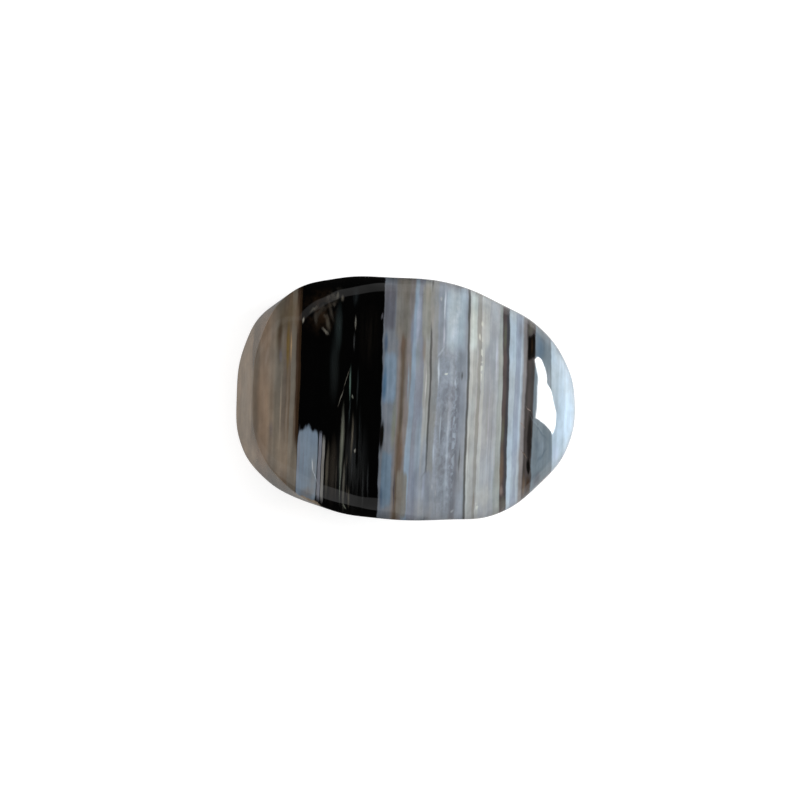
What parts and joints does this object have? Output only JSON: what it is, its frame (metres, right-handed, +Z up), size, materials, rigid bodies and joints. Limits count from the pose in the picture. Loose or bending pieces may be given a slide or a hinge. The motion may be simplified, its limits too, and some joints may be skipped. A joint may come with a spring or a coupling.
{
  "type": "banded agate cabochon",
  "caption": "Oval polished agate with straight bands, a domed top and a flat base to rest on or to set in a mount.",
  "frame": {"origin": "centre of the stone's outline seen from above, at the height of its flat base", "axes": "+X along the length towards the narrower end, with the dark band on the -X half; +Y across the width; +Z up through the top of the dome"},
  "size_m": [0.02, 0.0138, 0.0075],
  "materials": {
    "polished_agate": "polished"
  },
  "bodies": {
    "root": {"agate": "polished_agate"}
  },
  "joints": []
}
